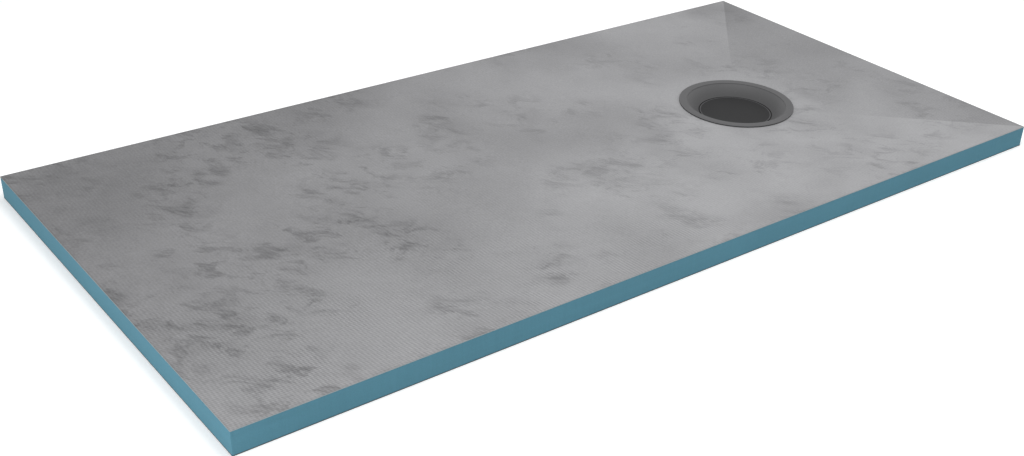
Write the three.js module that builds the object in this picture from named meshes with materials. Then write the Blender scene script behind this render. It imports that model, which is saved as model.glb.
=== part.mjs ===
// Tileable shower tray: a foam board with falls cut to a round drain, a glass-mesh cement coat
// on both faces, and the drain's moulded flange let into it.
// Millimetres, +Z up. The origin is on the underside, in the middle of the tray's outline.
// +X runs along the long side, towards the end that has the drain.

import * as THREE from 'three';

// The board
const TRAY_LENGTH = 1800;
const TRAY_WIDTH = 900;
const CORE_THICKNESS = 40; // foam, measured at the tray's edges
const TOP_COAT = 1.5;
const BOTTOM_COAT = 1.5;
const FALL = 22; // drop of the cement face from the tray's edges to the drain's seat

// The drain's place
const DRAIN_TO_END = 397; // drain centre to the short edge beside it
const DRAIN_OFF_CENTRE = 0; // drain centre to the tray's long centre line

// The drain's flange
const FLANGE_DIAMETER = 246;
const LIP_WIDTH = 16.5;
const LIP_THICKNESS = 3;
const LIP_EDGE_RADIUS = 1;
const LIP_STEP = 1.6; // short upright step from the lip down to the bowl
const BOWL_WALL = 6; // measured level
const BOWL_SAG = 1.5; // how far the bowl's curve dips below a straight cone
const BOWL_FLOOR_DIAMETER = 158;
const LEDGE_THICKNESS = 0.8;
const LEDGE_WIDTH = 7;

// The plate on the flange's ledge
const PLATE_THICKNESS = 1.5;
const PLATE_EDGE_RADIUS = 0.5;
const PLATE_SIDE_GAP = 2; // open joint round the plate
const PLATE_SEAT_GAP = 0.3;

// Room round the flange
const SEAT_MARGIN = 2; // level cement showing round the lip
const HOLE_CLEARANCE = 0.3; // flange to the hole through foam and coats

// Fineness of the round shapes
const FALL_RAY_STEP = THREE.MathUtils.degToRad(3.6);
const LATHE_SEGMENTS = 96;
const BOWL_STEPS = 6;
const ROUND_STEPS = 3;

// Levels and radii that follow
const coreTop = BOTTOM_COAT + CORE_THICKNESS;
const trayTop = coreTop + TOP_COAT;
const seatLevel = trayTop - FALL;
const lipTop = seatLevel + LIP_THICKNESS;
const drainX = TRAY_LENGTH / 2 - DRAIN_TO_END;
const drainY = DRAIN_OFF_CENTRE;
const lipRadius = FLANGE_DIAMETER / 2;
const seatRadius = lipRadius + SEAT_MARGIN;
const mouthRadius = lipRadius - LIP_WIDTH;
const neckRadius = mouthRadius + BOWL_WALL;
const floorRadius = BOWL_FLOOR_DIAMETER / 2;
const footRadius = floorRadius + BOWL_WALL;
const plateUnderside = LEDGE_THICKNESS + PLATE_SEAT_GAP;
const plateTop = plateUnderside + PLATE_THICKNESS;
const plateRadius = floorRadius - PLATE_SIDE_GAP;

// Finishes
const foamBlue = new THREE.MeshStandardMaterial({ color: 0x5a93a8, roughness: 0.9, metalness: 0 });
const cementGrey = new THREE.MeshStandardMaterial({ color: 0x98989a, roughness: 0.95, metalness: 0 });
const undersideGrey = new THREE.MeshStandardMaterial({ color: 0x6f7072, roughness: 0.95, metalness: 0 });
const flangeGrey = new THREE.MeshStandardMaterial({ color: 0x66676a, roughness: 0.5, metalness: 0 });
const plateGrey = new THREE.MeshStandardMaterial({ color: 0x3a3b3d, roughness: 0.4, metalness: 0 });

// Directions of the falls' rays from the drain's centre, one of them to each corner of the tray
function rayAngles() {
  const corners = [[1, 1], [-1, 1], [-1, -1], [1, -1]].map(([endward, sideward]) => Math.atan2(
    (sideward * TRAY_WIDTH) / 2 - drainY,
    (endward * TRAY_LENGTH) / 2 - drainX,
  ));
  return corners.flatMap((start, index) => {
    const next = corners[(index + 1) % corners.length];
    const sweep = THREE.MathUtils.euclideanModulo(next - start, 2 * Math.PI);
    const steps = Math.ceil(sweep / FALL_RAY_STEP);
    return Array.from({ length: steps }, (_, step) => start + (sweep * step) / steps);
  });
}

const rays = rayAngles();

// A level circle about the drain, with a point on each ray
function circleLoop(radius, level) {
  return rays.map((angle) => new THREE.Vector3(
    drainX + radius * Math.cos(angle),
    drainY + radius * Math.sin(angle),
    level,
  ));
}

// The tray's outline at one level, with a point on each ray
function outlineLoop(level) {
  return rays.map((angle) => {
    const along = Math.cos(angle);
    const across = Math.sin(angle);
    const toEnd = ((Math.sign(along) * TRAY_LENGTH) / 2 - drainX) / along;
    const toSide = ((Math.sign(across) * TRAY_WIDTH) / 2 - drainY) / across;
    const reach = Math.min(toEnd, toSide);
    return new THREE.Vector3(drainX + reach * along, drainY + reach * across, level);
  });
}

// The edge of the hole for the flange, which narrows from the seat down to the underside
function holeLoop(level) {
  const taper = (neckRadius - footRadius) / seatLevel;
  return circleLoop(footRadius + taper * level + HOLE_CLEARANCE, level);
}

// A ring-shaped solid through loops of matching points, taken in order round its section
function ringSolid(loops) {
  const count = rays.length;
  const reach = (loop) => Math.hypot(loop[0].x - drainX, loop[0].y - drainY);
  const faces = [];
  loops.forEach((loop, index) => {
    const following = (index + 1) % loops.length;
    const outward = reach(loop) < reach(loops[following]);
    for (let ray = 0; ray < count; ray += 1) {
      const nextRay = (ray + 1) % count;
      const here = index * count + ray;
      const hereNext = index * count + nextRay;
      const there = following * count + ray;
      const thereNext = following * count + nextRay;
      // A layer and the one under it split each facet along the same diagonal, so they meet
      if (outward) faces.push(here, there, hereNext, hereNext, there, thereNext);
      else faces.push(here, there, thereNext, here, thereNext, hereNext);
    }
  });
  const shared = new THREE.BufferGeometry().setFromPoints(loops.flat());
  shared.setIndex(faces);
  const geometry = shared.toNonIndexed();
  geometry.computeVertexNormals();
  return geometry;
}

// A solid turned about an upright axis, from the [radius, level] points of its half section
function turnedSolid(section) {
  const points = section.map(([radius, level]) => new THREE.Vector2(radius, level));
  return new THREE.LatheGeometry(points, LATHE_SEGMENTS).rotateX(Math.PI / 2);
}

// A quarter round about a centre, from one angle to another, as [radius, level] points
function quarterRound(centreRadius, centreLevel, radius, from, to) {
  return Array.from({ length: ROUND_STEPS + 1 }, (_, step) => {
    const angle = THREE.MathUtils.degToRad(from + ((to - from) * step) / ROUND_STEPS);
    return [centreRadius + radius * Math.cos(angle), centreLevel + radius * Math.sin(angle)];
  });
}

// The inside of the bowl from its mouth down to its floor, dipping a little below a straight cone
function bowlCurve() {
  const mouth = new THREE.Vector2(mouthRadius, lipTop - LIP_STEP);
  const floor = new THREE.Vector2(floorRadius, plateTop);
  const middle = mouth.clone().add(floor).multiplyScalar(0.5);
  middle.y -= 2 * BOWL_SAG;
  const curve = new THREE.QuadraticBezierCurve(mouth, middle, floor);
  return curve.getPoints(BOWL_STEPS).map((point) => [point.x, point.y]);
}

function topCoat() {
  return ringSolid([
    holeLoop(seatLevel - TOP_COAT),
    holeLoop(seatLevel),
    circleLoop(seatRadius, seatLevel),
    outlineLoop(trayTop),
    outlineLoop(coreTop),
    circleLoop(seatRadius, seatLevel - TOP_COAT),
  ]);
}

function foamCore() {
  return ringSolid([
    holeLoop(BOTTOM_COAT),
    holeLoop(seatLevel - TOP_COAT),
    circleLoop(seatRadius, seatLevel - TOP_COAT),
    outlineLoop(coreTop),
    outlineLoop(BOTTOM_COAT),
  ]);
}

function bottomCoat() {
  return ringSolid([
    holeLoop(0),
    holeLoop(BOTTOM_COAT),
    outlineLoop(BOTTOM_COAT),
    outlineLoop(0),
  ]);
}

function drainFlange() {
  const lipEdgeLevel = lipTop - LIP_EDGE_RADIUS;
  return turnedSolid([
    [floorRadius - LEDGE_WIDTH, 0],
    [footRadius, 0],
    [neckRadius, seatLevel],
    [lipRadius, seatLevel],
    ...quarterRound(lipRadius - LIP_EDGE_RADIUS, lipEdgeLevel, LIP_EDGE_RADIUS, 0, 90),
    ...quarterRound(mouthRadius + LIP_EDGE_RADIUS, lipEdgeLevel, LIP_EDGE_RADIUS, 90, 180),
    ...bowlCurve(),
    [floorRadius, LEDGE_THICKNESS],
    [floorRadius - LEDGE_WIDTH, LEDGE_THICKNESS],
    [floorRadius - LEDGE_WIDTH, 0],
  ]);
}

function outletPlate() {
  const edgeLevel = plateTop - PLATE_EDGE_RADIUS;
  return turnedSolid([
    [0, plateUnderside],
    [plateRadius, plateUnderside],
    ...quarterRound(plateRadius - PLATE_EDGE_RADIUS, edgeLevel, PLATE_EDGE_RADIUS, 0, 90),
    [0, plateTop],
  ]);
}

function piece(name, geometry, material) {
  const mesh = new THREE.Mesh(geometry, material);
  mesh.name = name;
  return mesh;
}

const board = new THREE.Group();
board.add(
  piece('foam_core', foamCore(), foamBlue),
  piece('top_coat', topCoat(), cementGrey),
  piece('bottom_coat', bottomCoat(), undersideGrey),
);

const drain = new THREE.Group();
drain.position.set(drainX, drainY, 0);
drain.add(
  piece('drain_flange', drainFlange(), flangeGrey),
  piece('outlet_plate', outletPlate(), plateGrey),
);

const tray = new THREE.Group();
tray.add(board, drain);

export default tray;
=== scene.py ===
"""Looks of a tileable shower tray: a foam board, cement coats with falls, and a drain flange.

The tray lies flat on a pale floor. +X runs along it towards the end with the drain, and +Z is up.
Lengths are in metres.
"""

import math

import bpy
from bpy.props import FloatProperty, FloatVectorProperty, IntProperty, PointerProperty
from mathutils import Matrix, Vector


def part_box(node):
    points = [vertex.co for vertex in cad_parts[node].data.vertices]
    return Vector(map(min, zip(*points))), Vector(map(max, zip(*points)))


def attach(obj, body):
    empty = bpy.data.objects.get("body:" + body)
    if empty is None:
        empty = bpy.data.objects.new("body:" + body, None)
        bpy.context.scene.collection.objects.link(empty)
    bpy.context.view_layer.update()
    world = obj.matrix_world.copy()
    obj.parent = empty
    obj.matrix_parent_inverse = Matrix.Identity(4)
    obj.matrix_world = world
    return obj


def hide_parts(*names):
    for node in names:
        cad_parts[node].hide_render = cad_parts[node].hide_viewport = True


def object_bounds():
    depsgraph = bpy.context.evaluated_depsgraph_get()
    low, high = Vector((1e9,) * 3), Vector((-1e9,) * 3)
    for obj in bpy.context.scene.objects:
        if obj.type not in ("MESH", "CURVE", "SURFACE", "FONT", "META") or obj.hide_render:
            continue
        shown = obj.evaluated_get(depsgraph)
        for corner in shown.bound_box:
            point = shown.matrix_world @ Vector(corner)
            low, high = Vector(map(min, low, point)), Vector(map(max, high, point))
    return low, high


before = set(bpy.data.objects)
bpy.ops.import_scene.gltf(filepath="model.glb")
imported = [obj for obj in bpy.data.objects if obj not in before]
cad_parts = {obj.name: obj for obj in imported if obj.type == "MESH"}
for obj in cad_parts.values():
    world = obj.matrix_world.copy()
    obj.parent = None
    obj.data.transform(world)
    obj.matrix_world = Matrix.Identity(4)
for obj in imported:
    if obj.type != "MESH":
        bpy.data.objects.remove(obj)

bl_info = {
    "name": "Tileable Shower Tray",
    "version": (1, 0, 0),
    "blender": (4, 5, 0),
    "location": "View3D > Sidebar > Shower Tray",
    "description": "Finishes the cement faces, the foam board and the drain of a tileable shower tray",
    "category": "Object",
}

BODY = "root"
CAD_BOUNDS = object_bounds()
TRAY_LOW, TRAY_HIGH = CAD_BOUNDS
FLANGE_LOW, FLANGE_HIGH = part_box("drain_flange")
PLATE_LOW, PLATE_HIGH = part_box("outlet_plate")
CORE_LOW, CORE_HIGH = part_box("foam_core")
DRAIN_CENTRE = (FLANGE_LOW + FLANGE_HIGH) / 2
LIP_RADIUS = (FLANGE_HIGH.x - FLANGE_LOW.x) / 2
PLATE_RADIUS = (PLATE_HIGH.x - PLATE_LOW.x) / 2

# Points nearer to each other than this are one point
WELD = 0.00001


def length(name, description, default, **more):
    """A length property, in metres, with the unit that Blender shows."""
    return FloatProperty(
        name=name, description=description, default=default, min=0.0, precision=5, unit="LENGTH", **more
    )


def colour(name, description, default):
    """A linear colour property."""
    return FloatVectorProperty(
        name=name, description=description, default=default, size=3, min=0.0, max=1.0, subtype="COLOR"
    )


class TrayBoardSettings(bpy.types.PropertyGroup):
    """Sizes of the board's worked surfaces."""

    cell: length("Cell", "Size of the cells that the cement face is worked in", 0.018)
    wave_height: length("Wave height", "Height of the trowelled coat's slow waves", 0.0007)
    wave_length: length("Wave length", "Distance from one slow wave to the next", 0.14)
    calm_inner: length("Calm radius", "Radius round the drain that stays level for the flange", 0.127)
    calm_outer: length("Wavy radius", "Radius from which the waves have their full height", 0.17)
    calm_edge: length("Calm edge", "Distance from the outline within which the waves die out", 0.012)
    arris: length("Arris", "Width of the rubbed edge round the cement face", 0.0005)
    mesh_pitch: length("Mesh pitch", "Distance along the tray between the glass mesh's threads", 0.0062)
    mesh_pick: length("Mesh pick", "Distance across the tray between its other threads", 0.0045)
    foam_arris: length("Foam arris", "Width of the softened edge on the board's upright corners", 0.0008)


class TrayDrainSettings(bpy.types.PropertyGroup):
    """Sizes of the drain's mouldings that show."""

    segments: IntProperty(
        name="Segments", description="Straight steps round the flange", default=192, min=24
    )
    bowl_steps: IntProperty(
        name="Bowl steps", description="Straight steps down the bowl's curve", default=12, min=2
    )
    lip_width: length("Lip width", "Level ring between the flange's edge and the bowl's mouth", 0.0165)
    lip_thickness: length("Lip thickness", "Height of the lip over the cement", 0.003)
    lip_step: length("Lip step", "Short upright step from the lip down to the bowl", 0.0016)
    lip_round: length("Lip rounding", "Radius of the lip's edges", 0.0006)
    bowl_wall: length("Bowl wall", "Thickness of the bowl's wall, measured level", 0.006)
    bowl_sag: length("Bowl sag", "How far the bowl's curve dips below a straight cone", 0.0015)
    ledge_width: length("Ledge width", "Level ring at the bowl's foot that carries the plate", 0.007)
    ledge_thickness: length("Ledge thickness", "Thickness of that ring", 0.0008)
    joint: length("Plate joint", "Open joint between the plate and the bowl", 0.002)
    plate_rim: length("Plate rim", "Width of the raised rim round the plate", 0.0026)
    plate_recess: length("Plate recess", "Depth of the plate's face under its rim", 0.0004)
    plate_round: length("Plate rounding", "Radius of the plate's rim", 0.0003)


class TrayColourSettings(bpy.types.PropertyGroup):
    """Colours of the tray's finishes."""

    cement: colour("Cement", "Dry cement coat", (0.272, 0.272, 0.279))
    smudge: colour("Smudge", "Dark trowel smudges in the cement", (0.116, 0.116, 0.120))
    # Cut edge's colour, lighter than the face: partly the coat's own edge and partly a painted highlight
    # along it
    cement_edge_and_highlight: colour("Cement edge", "Cut edge of the cement coat", (0.300, 0.338, 0.352))
    underside: colour("Underside", "Cement coat on the underside", (0.170, 0.170, 0.175))
    underside_edge: colour("Underside edge", "Cut edge of the underside's coat", (0.050, 0.056, 0.056))
    foam: colour("Foam", "Cut extruded foam", (0.073, 0.199, 0.261))
    flange: colour("Flange", "Moulded flange", (0.106, 0.106, 0.109))
    plate: colour("Plate", "Plate in the bowl", (0.025, 0.025, 0.026))
    floor: colour("Floor", "Studio floor", (0.90, 0.90, 0.90))


class TrayStageSettings(bpy.types.PropertyGroup):
    """The camera and the studio's lights."""

    camera_place: FloatVectorProperty(
        name="Camera place", description="Where the camera stands", default=(-1.4634, -1.7992, 1.1512),
        size=3, unit="LENGTH",
    )
    azimuth: FloatProperty(
        name="Azimuth", description="Direction of view, from +Y turning towards -X",
        default=math.radians(-40.18), unit="ROTATION",
    )
    elevation: FloatProperty(
        name="Elevation", description="How far the camera looks down", default=math.radians(31.31),
        unit="ROTATION",
    )
    roll: FloatProperty(
        name="Roll", description="Turn of the camera about its line of view",
        default=math.radians(3.19), unit="ROTATION",
    )
    focal_length: FloatProperty(
        name="Focal length", description="Lens, in millimetres", default=46.43, min=1.0
    )
    shift: FloatVectorProperty(
        name="Shift", description="Lens shift, as a share of the picture's width",
        default=(-0.0540, 0.0546), size=2,
    )
    world_light: FloatProperty(
        name="World light", description="Strength of the even light", default=0.60, min=0.0
    )
    floor_glow: FloatProperty(
        name="Floor glow", description="Light of the floor's own", default=0.22, min=0.0
    )
    floor_size: length("Floor size", "Side of the square floor", 40.0)
    floor_gap: length("Floor gap", "Distance of the floor below the tray", 0.0004)
    lamp_size: length("Lamp size", "Side of each square light", 0.9)


class Value:
    """A shader value or colour. Python's arithmetic on a value adds Math nodes to its finish."""

    def __init__(self, finish, output):
        self.finish = finish
        self.output = output

    def _math(self, operation, *terms):
        return self.finish.node("ShaderNodeMath", {"operation": operation}, dict(enumerate(terms)))

    def __add__(self, other):
        return self._math("ADD", self, other)

    def __sub__(self, other):
        return self._math("SUBTRACT", self, other)

    def __rsub__(self, other):
        return self._math("SUBTRACT", other, self)

    def __mul__(self, other):
        return self._math("MULTIPLY", self, other)

    def __abs__(self):
        return self._math("ABSOLUTE", self)

    def __pow__(self, other):
        return self._math("POWER", self, other)

    __radd__ = __add__
    __rmul__ = __mul__

    def cosine(self):
        return self._math("COSINE", self)

    def most(self, other):
        return self._math("MAXIMUM", self, other)

    def least(self, other):
        return self._math("MINIMUM", self, other)

    def rise(self, low, high):
        """0 below low and 1 above high, with a soft step between them."""
        return self.finish.node(
            "ShaderNodeMapRange",
            {"interpolation_type": "SMOOTHSTEP"},
            {"Value": self, "From Min": low, "From Max": high},
        )

    def swing(self):
        """A noise value, which lies about 0.5, as a swing about 0."""
        return self - 0.5


class Finish:
    """One material, built from its nodes, on a Principled surface."""

    def __init__(self, name):
        self.material = bpy.data.materials.new(name)
        self.material.use_nodes = True
        self.tree = self.material.node_tree
        self.tree.nodes.clear()
        self.place = self.node("ShaderNodeTexCoord", {}, {}, output="Object")

    def node(self, kind, settings, sockets, output=0):
        """Adds a node. Its settings are made first, then the values or links of its sockets."""
        made = self.tree.nodes.new(kind)
        for name, setting in settings.items():
            setattr(made, name, setting)
        for name, given in sockets.items():
            if isinstance(given, Value):
                self.tree.links.new(given.output, made.inputs[name])
            else:
                made.inputs[name].default_value = given
        return None if output is None else Value(self, made.outputs[output])

    def drawn_out(self, turn=0.0, stretch=(1.0, 1.0, 1.0)):
        """The place on the object, for a pattern turned about Z and drawn out along its own axes."""
        return self.node(
            "ShaderNodeMapping", {"vector_type": "TEXTURE"},
            {"Vector": self.place, "Rotation": (0.0, 0.0, turn), "Scale": stretch},
        )

    def noise(self, size, vector=None, detail=2.0, roughness=0.5, distortion=0.0):
        """Cloudy noise about 0.5, with lumps of about that size in metres."""
        return self.node(
            "ShaderNodeTexNoise", {},
            {
                "Vector": vector or self.place, "Scale": 1.0 / size, "Detail": detail,
                "Roughness": roughness, "Distortion": distortion,
            },
        )

    def cells(self, size, randomness=1.0):
        """Distance to the nearest of scattered points, which lie about that far apart in metres."""
        return self.node(
            "ShaderNodeTexVoronoi", {},
            {"Vector": self.place, "Scale": 1.0 / size, "Randomness": randomness}, output="Distance",
        )

    def axes(self):
        """The three parts of the place on the object."""
        split = self.node("ShaderNodeSeparateXYZ", {}, {"Vector": self.place})
        parts = split.output.node.outputs
        return [Value(self, parts[axis]) for axis in "XYZ"]

    def blend(self, factor, first, second):
        """A colour between two colours."""
        return self.node(
            "ShaderNodeMix", {"data_type": "RGBA", "clamp_factor": True},
            {0: factor, 6: self._full(first), 7: self._full(second)}, output=2,
        )

    def shaded(self, paint, amount):
        """A colour times a value near 1."""
        grey = self.node("ShaderNodeCombineColor", {}, {"Red": amount, "Green": amount, "Blue": amount})
        return self.node(
            "ShaderNodeMix", {"data_type": "RGBA", "blend_type": "MULTIPLY"},
            {0: 1.0, 6: self._full(paint), 7: grey}, output=2,
        )

    def bump(self, height, distance):
        """A normal from a height, where 1 stands for that distance in metres."""
        sockets = {"Height": height, "Distance": distance, "Strength": 1.0}
        return self.node("ShaderNodeBump", {}, sockets)

    def surface(self, paint, roughness, normal, specular=0.5, glow=0.0):
        """Ends the finish with its surface."""
        shader = self.node(
            "ShaderNodeBsdfPrincipled", {},
            {
                "Base Color": self._full(paint),
                "Roughness": roughness, "Specular IOR Level": specular, "Normal": normal,
                "Emission Strength": glow,
            },
        )
        self.node("ShaderNodeOutputMaterial", {}, {"Surface": shader}, output=None)
        return self.material

    @staticmethod
    def _full(paint):
        """A paint as a colour socket takes it."""
        return paint if isinstance(paint, Value) else (*paint, 1.0)


def mesh_threads(finish, board):
    """Swings of the glass mesh's threads under the cement about their mean, along Y and along X."""
    full_turn = 2.0 * math.pi
    wander = finish.noise(0.07, detail=2.0).swing() * 0.006
    x, y, _ = finish.axes()
    along_y = ((x + wander) * (full_turn / board.mesh_pitch)).cosine()
    along_x = ((y - wander) * (full_turn / board.mesh_pick)).cosine()
    return along_y, along_x


def from_outline(finish):
    """Level distance from the tray's outline."""
    x, y, _ = finish.axes()
    return (TRAY_HIGH.x - abs(x)).least(TRAY_HIGH.y - abs(y))


def from_drain(finish):
    """Level distance from the drain's axis."""
    x, y, _ = finish.axes()
    along, across = x - DRAIN_CENTRE.x, y - DRAIN_CENTRE.y
    return (along * along + across * across) ** 0.5


def ring_marks(finish, spacing, radius, width):
    """Scattered marks left by the rim of a pail: a broken ring with a dot in its middle."""
    dot_inner, dot_outer = 0.008, 0.020
    wobble = finish.noise(0.06, detail=3.0).swing() * 0.035
    from_middle = finish.cells(spacing, randomness=0.8) * spacing + wobble
    ring = 1.0 - abs(from_middle - radius).rise(width * 0.3, width)
    dot = 1.0 - from_middle.rise(dot_inner, dot_outer)
    broken = finish.noise(0.085, detail=4.0, roughness=0.65).rise(0.47, 0.60)
    return (ring * broken).most(dot * 0.8)


def smudged(finish, near_drain):
    """Where trowel smudges darken the cement, from 0 to 1."""
    x, _, _ = finish.axes()
    slant = math.radians(-50.0)
    brushed = finish.drawn_out(slant, (1.6, 1.0, 1.0))
    hatched = finish.drawn_out(slant, (5.0, 1.0, 1.0))

    # Smudges gather in clusters, and are fewer and softer in the calm middle
    calm = near_drain - x.rise(0.05, 0.40) * 0.3
    clusters = (finish.noise(0.20, detail=2.0) - calm * 0.06).rise(0.39, 0.57)
    blots = finish.noise(0.042, brushed, detail=8.0, roughness=0.71, distortion=0.6).rise(0.485, 0.61)
    halo = finish.noise(0.060, brushed, detail=4.0, roughness=0.6).rise(0.45, 0.70) * clusters
    smears = finish.noise(0.16, detail=4.0, roughness=0.58).rise(0.44, 0.74)
    rings = ring_marks(finish, spacing=0.30, radius=0.054, width=0.016)
    strokes = finish.noise(0.006, hatched, detail=2.0).rise(0.38, 0.62) * 0.50 + 0.50
    marks = (blots * clusters).most(rings * 0.55) * strokes * (1.0 - calm * 0.55)
    soft = halo * (0.26 - calm * 0.14) + smears * (near_drain * 0.14 + 0.15)
    return (marks * 0.72 + soft).least(1.0)


def broad_tone_and_painted_light(finish, near_drain):
    """Slow changes of the cement's brightness over the tray: random tone, painted light and painted
    shade.
    """
    x, y, _ = finish.axes()

    # Painted light: darker at the back of the far end and lighter towards the front and the drain's end
    painted_light_gradient = ((x - TRAY_LOW.x) * 0.50 - (y - TRAY_HIGH.y) * 0.62).rise(-0.12, 1.10)
    # Painted light: a brighter pool over the near corner of the far end
    painted_corner_light = (1.0 - x.rise(-0.80, -0.25)) * (1.0 - y.rise(-0.45, -0.15))
    patches = (finish.noise(0.30, detail=1.0).swing() * (near_drain * 0.65 + 0.35)).least(0.05)
    drift = finish.noise(0.50, detail=2.0).swing() * 0.16

    # Painted shade: the short fall beside the drain's end is a shade darker than its neighbours
    beyond = x - DRAIN_CENTRE.x
    to_corner = (TRAY_HIGH.y - TRAY_LOW.y) / 2 / (TRAY_HIGH.x - DRAIN_CENTRE.x)
    end_fall_painted_shade = (beyond * to_corner - abs(y - DRAIN_CENTRE.y)).rise(-0.002, 0.003)
    end_fall_painted_shade = end_fall_painted_shade * beyond.rise(0.10, 0.34)
    return drift + patches + painted_light_gradient * 0.45 + painted_corner_light * 0.13 - end_fall_painted_shade * 0.24


def cement_top_finish(board, colours):
    """Trowelled cement over glass mesh: slow tones with painted light and shade, dark smudges in
    clusters, the mesh's threads and a painted highlight on the cut edge.
    """
    finish = Finish("cement_top")
    x, y, _ = finish.axes()
    near_drain = x.rise(-0.55, 0.25)
    smudges = smudged(finish, near_drain)

    # The threads show best at the near corner, and lie deeper towards the back and the drain
    along_y, along_x = mesh_threads(finish, board)
    bared = finish.noise(0.10, detail=2.0).rise(0.42, 0.62)
    buried = 1.0 - y.rise(-0.42, 0.05) * 0.75
    threads = (along_y * (bared * 0.35 + 0.60) + along_x * (bared * 0.50 + 0.70)) * buried
    clear = 1.0 - x.rise(-0.6, 0.6) * 0.58
    mesh = (threads * 0.115 + 0.18) * clear

    mottle = finish.noise(0.040, detail=5.0, roughness=0.68).swing() * (0.26 - near_drain * 0.12)
    grain = finish.noise(0.0034, detail=2.0).swing() * 0.34
    edge = from_outline(finish)
    rubbed = 1.0 - edge.rise(0.0012, 0.0045)
    brightness = broad_tone_and_painted_light(finish, near_drain) + mottle + grain + 0.84 - mesh - rubbed * 0.09

    dry = finish.blend(smudges * 0.85, colours.cement, colours.smudge)
    # The cut edge takes its own colour, which is also a painted highlight along the edge
    cut_edge = 1.0 - edge.rise(0.0001, 0.0006)
    paint = finish.blend(cut_edge * 0.85, finish.shaded(dry, brightness), colours.cement_edge_and_highlight)

    pores = finish.noise(0.02, detail=4.0) * 0.8 + finish.noise(0.0016, detail=1.0) * 0.35
    normal = finish.bump(threads * 0.4 + pores - smudges * 0.35, 0.00025)
    roughness = 0.90 - smudges * 0.10 + finish.noise(0.03).swing() * 0.08
    return finish.surface(paint, roughness, normal, specular=0.3)


def cement_under_finish(board, colours):
    """The underside's coat, darker and more even, with the mesh plain to see and a dark cut edge."""
    finish = Finish("cement_underside")
    along_y, along_x = mesh_threads(finish, board)
    threads = (along_y + along_x) * 0.35
    tone = finish.noise(0.25, detail=3.0).swing() * 0.35 + finish.noise(0.03, detail=3.0).swing() * 0.2
    cut_edge = 1.0 - from_outline(finish).rise(0.0001, 0.0015)
    face = finish.shaded(colours.underside, tone + 0.92 - threads * 0.12)
    paint = finish.blend(cut_edge, face, colours.underside_edge)
    normal = finish.bump(threads * 0.7 + finish.noise(0.01, detail=3.0) * 0.6, 0.00022)
    roughness = finish.noise(0.04).swing() * 0.1 + 0.9
    return finish.surface(paint, roughness, normal, specular=0.3)


def foam_finish(colours):
    """Cut extruded foam: fine closed cells, faint layers from the extruder and a few saw marks."""
    finish = Finish("extruded_foam")
    cells = finish.cells(0.0011)
    layers = finish.noise(0.010, finish.drawn_out(stretch=(50.0, 50.0, 1.0)), detail=3.0).swing() * 0.12
    saw = finish.noise(0.004, finish.drawn_out(stretch=(1.0, 1.0, 30.0)), detail=2.0).swing() * 0.09
    broad = finish.noise(0.12, detail=3.0).swing() * 0.12
    speckle = finish.noise(0.0025, detail=2.0).swing() * 0.14
    paint = finish.shaded(colours.foam, layers + saw + broad + speckle + 1.05 - cells * 0.08)
    normal = finish.bump(cells * 0.8 + saw * 3.0, 0.00018)
    roughness = finish.noise(0.02).swing() * 0.1 + 0.84
    return finish.surface(paint, roughness, normal, specular=0.25)


def flange_finish(drain, colours):
    """Satin moulded plastic with a fine spark texture, with painted shade low in the bowl, on the lip's
    outer side and in the joint round the plate.
    """
    finish = Finish("flange_moulding")
    _, _, z = finish.axes()
    spark = finish.noise(0.0009, detail=2.0)
    cloud = finish.noise(0.05, detail=3.0).swing() * 0.12
    marks = finish.noise(0.004, finish.drawn_out(0.6, (9.0, 1.0, 1.0)), detail=4.0).rise(0.60, 0.75)
    # Painted shade: darker towards the foot of the bowl
    low = 1.0 - z.rise(0.0, FLANGE_HIGH.z + 0.006)
    out = from_drain(finish)
    # Painted shade on the lip's outer side
    under_lip = 1.0 - z.rise(FLANGE_HIGH.z - 3.0 * drain.lip_round, FLANGE_HIGH.z - drain.lip_round)
    side = out.rise(LIP_RADIUS - 0.0012, LIP_RADIUS - 0.0004) * under_lip
    # Painted shade in the open joint round the plate
    joint_wall = PLATE_RADIUS + drain.joint
    in_joint = 1.0 - out.rise(joint_wall, joint_wall + 0.0012)
    painted_shade = (low * 0.40 + side * 0.62).most(in_joint * 0.85)
    paint = finish.shaded(colours.flange, cloud + marks * 0.10 + 1.02 - painted_shade)
    normal = finish.bump(spark * 0.5 + marks * 0.15, 0.00012)
    roughness = cloud * 0.5 + marks * 0.08 + low * 0.10 + 0.56
    return finish.surface(paint, roughness, normal, specular=0.3)


def plate_finish(drain, colours):
    """Dark moulded plate with fine dust and a painted highlight on its raised rim."""
    finish = Finish("plate_moulding")
    dust = finish.noise(0.006, detail=4.0, roughness=0.7).rise(0.55, 0.8)
    cloud = finish.noise(0.04, detail=2.0).swing() * 0.15
    out = from_drain(finish)
    # Painted highlight: a light line round the plate's raised rim
    rim_start = PLATE_RADIUS - drain.plate_rim
    rim = out.rise(rim_start - 0.0002, rim_start + 0.0004)
    rim = rim * (1.0 - out.rise(PLATE_RADIUS - 0.0006, PLATE_RADIUS - 0.0001))
    paint = finish.shaded(colours.plate, cloud + dust * 0.25 + rim * 2.2 + 1.0)
    normal = finish.bump(finish.noise(0.0012, detail=2.0), 0.00008)
    roughness = cloud * 0.4 + dust * 0.10 + 0.58
    return finish.surface(paint, roughness, normal, specular=0.2)


def floor_finish(colours, glow):
    """The studio's pale, even floor, which glows a little."""
    finish = Finish("studio_floor")
    tone = finish.noise(1.5, detail=1.0).swing() * 0.01
    paint = finish.shaded(colours.floor, tone + 1.0)
    normal = finish.bump(finish.noise(0.4, detail=1.0), 0.0001)
    return finish.surface(paint, 0.9, normal, specular=0.2, glow=glow)


def deselect_all():
    """Nothing stays selected, so that the next operator acts on its own piece alone."""
    if bpy.context.object and bpy.context.object.mode != "OBJECT":
        bpy.ops.object.mode_set(mode="OBJECT")
    bpy.ops.object.select_all(action="DESELECT")


def make_active(piece):
    """One piece is selected and active."""
    deselect_all()
    piece.select_set(True)
    bpy.context.view_layer.objects.active = piece


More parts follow.
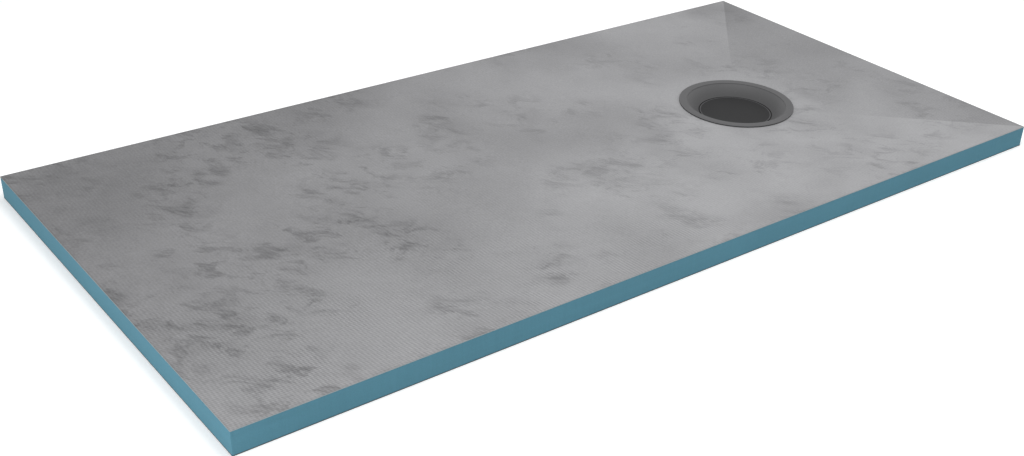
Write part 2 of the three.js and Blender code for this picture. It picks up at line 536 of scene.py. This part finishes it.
def copy_of_node(node, name):
    """A copy of a CAD node with its doubles merged, ready to work on."""
    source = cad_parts[node]
    piece = bpy.data.objects.new(name, source.data.copy())
    bpy.context.scene.collection.objects.link(piece)
    piece.data.materials.clear()
    make_active(piece)
    if piece.data.has_custom_normals:
        bpy.ops.mesh.customdata_custom_splitnormals_clear()
    bpy.ops.object.mode_set(mode="EDIT")
    bpy.ops.mesh.select_all(action="SELECT")
    bpy.ops.mesh.remove_doubles(threshold=WELD)
    bpy.ops.mesh.mark_sharp(clear=True)
    bpy.ops.object.mode_set(mode="OBJECT")
    return piece


def finish_piece(piece, material, node, smooth_angle):
    """Merges what the bevels closed up, shades the piece, paints it and hands it to the frame."""
    make_active(piece)
    bpy.ops.object.mode_set(mode="EDIT")
    bpy.ops.mesh.select_all(action="SELECT")
    bpy.ops.mesh.remove_doubles(threshold=WELD)
    bpy.ops.object.mode_set(mode="OBJECT")
    bpy.ops.object.transform_apply(location=True, rotation=True, scale=True)
    bpy.ops.object.shade_smooth_by_angle(angle=smooth_angle)
    piece.data.materials.append(material)
    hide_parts(node)
    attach(piece, BODY)


def apply_modifier(piece, kind, settings):
    """Adds a modifier with its settings and applies it."""
    make_active(piece)
    modifier = piece.modifiers.new(kind.title(), kind)
    for name, setting in settings.items():
        setattr(modifier, name, setting)
    bpy.ops.object.modifier_apply(modifier=modifier.name)


def cut_into_cells(piece, cell):
    """Bisects a piece by upright planes, so that its long facets become even cells."""
    make_active(piece)
    bpy.ops.object.mode_set(mode="EDIT")
    for axis in (0, 1):
        normal = Vector((0.0, 0.0, 0.0))
        normal[axis] = 1.0
        low, high = TRAY_LOW[axis], TRAY_HIGH[axis]
        count = round((high - low) / cell)
        for index in range(1, count):
            place = Vector((0.0, 0.0, 0.0))
            place[axis] = low + (high - low) * index / count
            bpy.ops.mesh.select_all(action="SELECT")
            bpy.ops.mesh.bisect(plane_co=place, plane_no=normal, threshold=2.0 * WELD)
    bpy.ops.object.mode_set(mode="OBJECT")


def wave_weight(point, board):
    """How far the trowelled waves reach at a point: none at the drain and none at the outline."""
    to_drain = math.hypot(point.x - DRAIN_CENTRE.x, point.y - DRAIN_CENTRE.y)
    to_outline = min(TRAY_HIGH.x - abs(point.x), TRAY_HIGH.y - abs(point.y))
    at_drain = (to_drain - board.calm_inner) / (board.calm_outer - board.calm_inner)
    at_edge = to_outline / board.calm_edge
    return max(0.0, min(1.0, at_drain, at_edge))


class TRAY_OT_cement_face(bpy.types.Operator):
    """Model the upper cement coat on the falls, with the trowel's slow waves"""

    bl_idname = "tray.cement_face"
    bl_label = "Cement Face"

    def execute(self, context):
        board = context.scene.tray_board
        piece = copy_of_node("top_coat", "cement_face")
        apply_modifier(piece, "BEVEL", {
            "width": board.arris, "segments": 2, "limit_method": "ANGLE",
            "angle_limit": math.radians(60.0),
        })
        cut_into_cells(piece, board.cell)

        waves = piece.vertex_groups.new(name="waves")
        upper = {
            corner
            for face in piece.data.polygons
            if face.normal.z > 0.5
            for corner in face.vertices
        }
        for corner in upper:
            waves.add([corner], wave_weight(piece.data.vertices[corner].co, board), "REPLACE")
        clouds = bpy.data.textures.new("trowel_waves", "CLOUDS")
        clouds.noise_scale = board.wave_length
        clouds.noise_depth = 1
        apply_modifier(piece, "DISPLACE", {
            "texture": clouds, "texture_coords": "LOCAL", "direction": "Z", "mid_level": 0.5,
            "strength": board.wave_height, "vertex_group": waves.name,
        })
        piece.vertex_groups.clear()
        material = cement_top_finish(board, context.scene.tray_colours)
        finish_piece(piece, material, "top_coat", smooth_angle=math.radians(2.5))
        return {"FINISHED"}


class TRAY_OT_foam_board(bpy.types.Operator):
    """Model the foam board with softened upright corners"""

    bl_idname = "tray.foam_board"
    bl_label = "Foam Board"

    def execute(self, context):
        board = context.scene.tray_board
        piece = copy_of_node("foam_core", "foam_board")
        bpy.ops.object.mode_set(mode="EDIT")
        bpy.ops.mesh.select_all(action="DESELECT")
        bpy.ops.object.mode_set(mode="OBJECT")
        for edge in piece.data.edges:
            ends = [piece.data.vertices[index].co for index in edge.vertices]
            upright = abs(ends[0].z - ends[1].z) > 0.9 * (CORE_HIGH.z - CORE_LOW.z)
            at_corner = all(
                abs(abs(end.x) - TRAY_HIGH.x) < WELD and abs(abs(end.y) - TRAY_HIGH.y) < WELD
                for end in ends
            )
            edge.select = upright and at_corner
        bpy.ops.object.mode_set(mode="EDIT")
        bpy.ops.mesh.select_mode(type="EDGE")
        bpy.ops.mesh.bevel(offset=board.foam_arris, segments=3)
        bpy.ops.object.mode_set(mode="OBJECT")
        material = foam_finish(context.scene.tray_colours)
        finish_piece(piece, material, "foam_core", smooth_angle=math.radians(20.0))
        return {"FINISHED"}


class TRAY_OT_underside_coat(bpy.types.Operator):
    """Paint the cement coat on the underside"""

    bl_idname = "tray.underside_coat"
    bl_label = "Underside Coat"

    def execute(self, context):
        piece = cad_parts["bottom_coat"]
        piece.data.materials.clear()
        material = cement_under_finish(context.scene.tray_board, context.scene.tray_colours)
        piece.data.materials.append(material)
        return {"FINISHED"}


def turned_ring(name, section, segments):
    """A ring turned about the drain's axis, by extruding and resizing a circle along its section."""
    deselect_all()
    radius, height = section[0]
    centre = (DRAIN_CENTRE.x, DRAIN_CENTRE.y, height)
    bpy.ops.mesh.primitive_circle_add(vertices=segments, radius=radius, location=centre)
    piece = bpy.context.object
    piece.name = piece.data.name = name
    bpy.ops.object.mode_set(mode="EDIT")
    bpy.ops.mesh.select_mode(type="VERT")
    bpy.ops.mesh.select_all(action="SELECT")
    for next_radius, next_height in section[1:]:
        climb = (0.0, 0.0, next_height - height)
        bpy.ops.mesh.extrude_edges_move(TRANSFORM_OT_translate={"value": climb})
        scale = next_radius / radius
        centre = (DRAIN_CENTRE.x, DRAIN_CENTRE.y, next_height)
        bpy.ops.transform.resize(value=(scale, scale, 1.0), center_override=centre)
        radius, height = next_radius, next_height
    bpy.ops.mesh.select_all(action="DESELECT")
    bpy.ops.mesh.select_non_manifold()
    bpy.ops.mesh.bridge_edge_loops()
    bpy.ops.mesh.select_all(action="SELECT")
    bpy.ops.mesh.normals_make_consistent(inside=False)
    bpy.ops.object.mode_set(mode="OBJECT")
    return piece


class TRAY_OT_drain_flange(bpy.types.Operator):
    """Model the moulded flange: its lip, its bowl and the ledge under the plate"""

    bl_idname = "tray.drain_flange"
    bl_label = "Drain Flange"

    def execute(self, context):
        drain = context.scene.tray_drain
        lip_top = FLANGE_HIGH.z
        seat = lip_top - drain.lip_thickness
        mouth = LIP_RADIUS - drain.lip_width
        floor_radius = PLATE_RADIUS + drain.joint
        mouth_height = lip_top - drain.lip_step
        bowl = []
        for step in range(1, drain.bowl_steps):
            share = step / drain.bowl_steps
            sag = 4.0 * drain.bowl_sag * share * (1.0 - share)
            bowl.append((
                mouth + (floor_radius - mouth) * share,
                mouth_height + (PLATE_HIGH.z - mouth_height) * share - sag,
            ))
        section = [
            (floor_radius - drain.ledge_width, FLANGE_LOW.z),
            (floor_radius + drain.bowl_wall, FLANGE_LOW.z),
            (mouth + drain.bowl_wall, seat),
            (LIP_RADIUS, seat),
            (LIP_RADIUS, lip_top),
            (mouth, lip_top),
            (mouth, mouth_height),
            *bowl,
            (floor_radius, PLATE_HIGH.z),
            (floor_radius, FLANGE_LOW.z + drain.ledge_thickness),
            (floor_radius - drain.ledge_width, FLANGE_LOW.z + drain.ledge_thickness),
        ]
        piece = turned_ring("flange_moulding", section, drain.segments)
        apply_modifier(piece, "BEVEL", {
            "width": drain.lip_round, "segments": 4, "limit_method": "ANGLE",
            "angle_limit": math.radians(35.0), "use_clamp_overlap": True,
        })
        material = flange_finish(drain, context.scene.tray_colours)
        finish_piece(piece, material, "drain_flange", smooth_angle=math.radians(40.0))
        return {"FINISHED"}


class TRAY_OT_outlet_plate(bpy.types.Operator):
    """Model the plate at the foot of the bowl, with its raised rim"""

    bl_idname = "tray.outlet_plate"
    bl_label = "Outlet Plate"

    def execute(self, context):
        drain = context.scene.tray_drain
        thickness = PLATE_HIGH.z - PLATE_LOW.z
        centre = (DRAIN_CENTRE.x, DRAIN_CENTRE.y, PLATE_LOW.z)
        deselect_all()
        bpy.ops.mesh.primitive_circle_add(
            vertices=drain.segments, radius=PLATE_RADIUS, fill_type="NGON", location=centre
        )
        piece = context.object
        piece.name = piece.data.name = "plate_moulding"
        bpy.ops.object.mode_set(mode="EDIT")
        bpy.ops.mesh.select_all(action="SELECT")
        bpy.ops.mesh.extrude_region_move(TRANSFORM_OT_translate={"value": (0.0, 0.0, thickness)})
        bpy.ops.mesh.inset(thickness=drain.plate_rim)
        bpy.ops.mesh.inset(thickness=drain.plate_recess)
        bpy.ops.transform.translate(value=(0.0, 0.0, -drain.plate_recess))
        bpy.ops.mesh.select_all(action="SELECT")
        bpy.ops.mesh.normals_make_consistent(inside=False)
        bpy.ops.object.mode_set(mode="OBJECT")
        apply_modifier(piece, "BEVEL", {
            "width": drain.plate_round, "segments": 3, "limit_method": "ANGLE",
            "angle_limit": math.radians(30.0),
        })
        material = plate_finish(drain, context.scene.tray_colours)
        finish_piece(piece, material, "outlet_plate", smooth_angle=math.radians(40.0))
        return {"FINISHED"}


def softbox(name, place, power, size):
    """A soft square light that faces the tray from a place in metres."""
    place = Vector(place)
    turned_in = 0.3
    target = Vector((place.x * turned_in, 0.0, 0.0))
    bpy.ops.object.light_add(type="AREA", location=place)
    lamp = bpy.context.object
    lamp.name = lamp.data.name = name
    lamp.data.shape = "SQUARE"
    lamp.data.size = size
    lamp.data.energy = power
    lamp.rotation_euler = (target - place).to_track_quat("-Z", "Y").to_euler()


class TRAY_OT_studio(bpy.types.Operator):
    """Set the pale floor, the soft lights and the camera"""

    bl_idname = "tray.studio"
    bl_label = "Studio"

    def execute(self, context):
        stage = context.scene.tray_stage
        deselect_all()
        bpy.ops.mesh.primitive_plane_add(size=stage.floor_size, location=(0.0, 0.0, -stage.floor_gap))
        floor = context.object
        floor.name = floor.data.name = "studio_floor"
        floor.data.materials.append(floor_finish(context.scene.tray_colours, stage.floor_glow))

        softbox("over_middle", place=(0.0, -0.5, 2.2), power=19.5, size=stage.lamp_size)
        softbox("over_far_end", place=(-1.0, -0.5, 2.2), power=7.0, size=stage.lamp_size)
        softbox("front_left_low", place=(-2.4, -0.8, 0.5), power=13.6, size=stage.lamp_size)
        softbox("right_high", place=(2.4, -0.8, 1.5), power=7.0, size=stage.lamp_size)
        softbox("right_low", place=(2.4, 0.0, 0.5), power=3.2, size=stage.lamp_size)
        softbox("back_low", place=(0.6, 1.8, 0.5), power=3.9, size=stage.lamp_size)

        world = bpy.data.worlds.new("studio_world")
        world.use_nodes = True
        background = world.node_tree.nodes["Background"]
        background.inputs["Color"].default_value = (1.0, 1.0, 1.0, 1.0)
        background.inputs["Strength"].default_value = stage.world_light
        context.scene.world = world
        context.scene.view_settings.view_transform = "Standard"

        turn = (
            Matrix.Rotation(stage.azimuth, 3, "Z")
            @ Matrix.Rotation(math.pi / 2 - stage.elevation, 3, "X")
            @ Matrix.Rotation(stage.roll, 3, "Z")
        )
        bpy.ops.object.camera_add(location=stage.camera_place, rotation=turn.to_euler())
        camera = context.object
        camera.name = camera.data.name = "photo_camera"
        camera.data.lens = stage.focal_length
        camera.data.shift_x, camera.data.shift_y = stage.shift
        context.scene.camera = camera
        return {"FINISHED"}


class TRAY_PT_sidebar(bpy.types.Panel):
    """The tray's steps and settings"""

    bl_idname = "TRAY_PT_sidebar"
    bl_label = "Shower Tray"
    bl_space_type = "VIEW_3D"
    bl_region_type = "UI"
    bl_category = "Shower Tray"

    def draw(self, context):
        layout = self.layout
        for operator in OPERATORS:
            layout.operator(operator.bl_idname)
        for group in SETTINGS:
            box = layout.box()
            for name in SETTINGS[group].__annotations__:
                box.prop(getattr(context.scene, group), name)


SETTINGS = {
    "tray_board": TrayBoardSettings,
    "tray_drain": TrayDrainSettings,
    "tray_colours": TrayColourSettings,
    "tray_stage": TrayStageSettings,
}
OPERATORS = (
    TRAY_OT_cement_face,
    TRAY_OT_foam_board,
    TRAY_OT_underside_coat,
    TRAY_OT_drain_flange,
    TRAY_OT_outlet_plate,
    TRAY_OT_studio,
)
CLASSES = (*SETTINGS.values(), *OPERATORS, TRAY_PT_sidebar)


def register():
    for item in CLASSES:
        bpy.utils.register_class(item)
    for group, settings in SETTINGS.items():
        setattr(bpy.types.Scene, group, PointerProperty(type=settings))


def unregister():
    for group in SETTINGS:
        delattr(bpy.types.Scene, group)
    for item in reversed(CLASSES):
        bpy.utils.unregister_class(item)


def main():
    """Registers the add-on, sets the studio and models the tray piece by piece."""
    register()
    bpy.ops.tray.studio()
    bpy.ops.tray.cement_face()
    bpy.ops.tray.foam_board()
    bpy.ops.tray.underside_coat()
    bpy.ops.tray.drain_flange()
    bpy.ops.tray.outlet_plate()


if __name__ == "__main__":
    main()
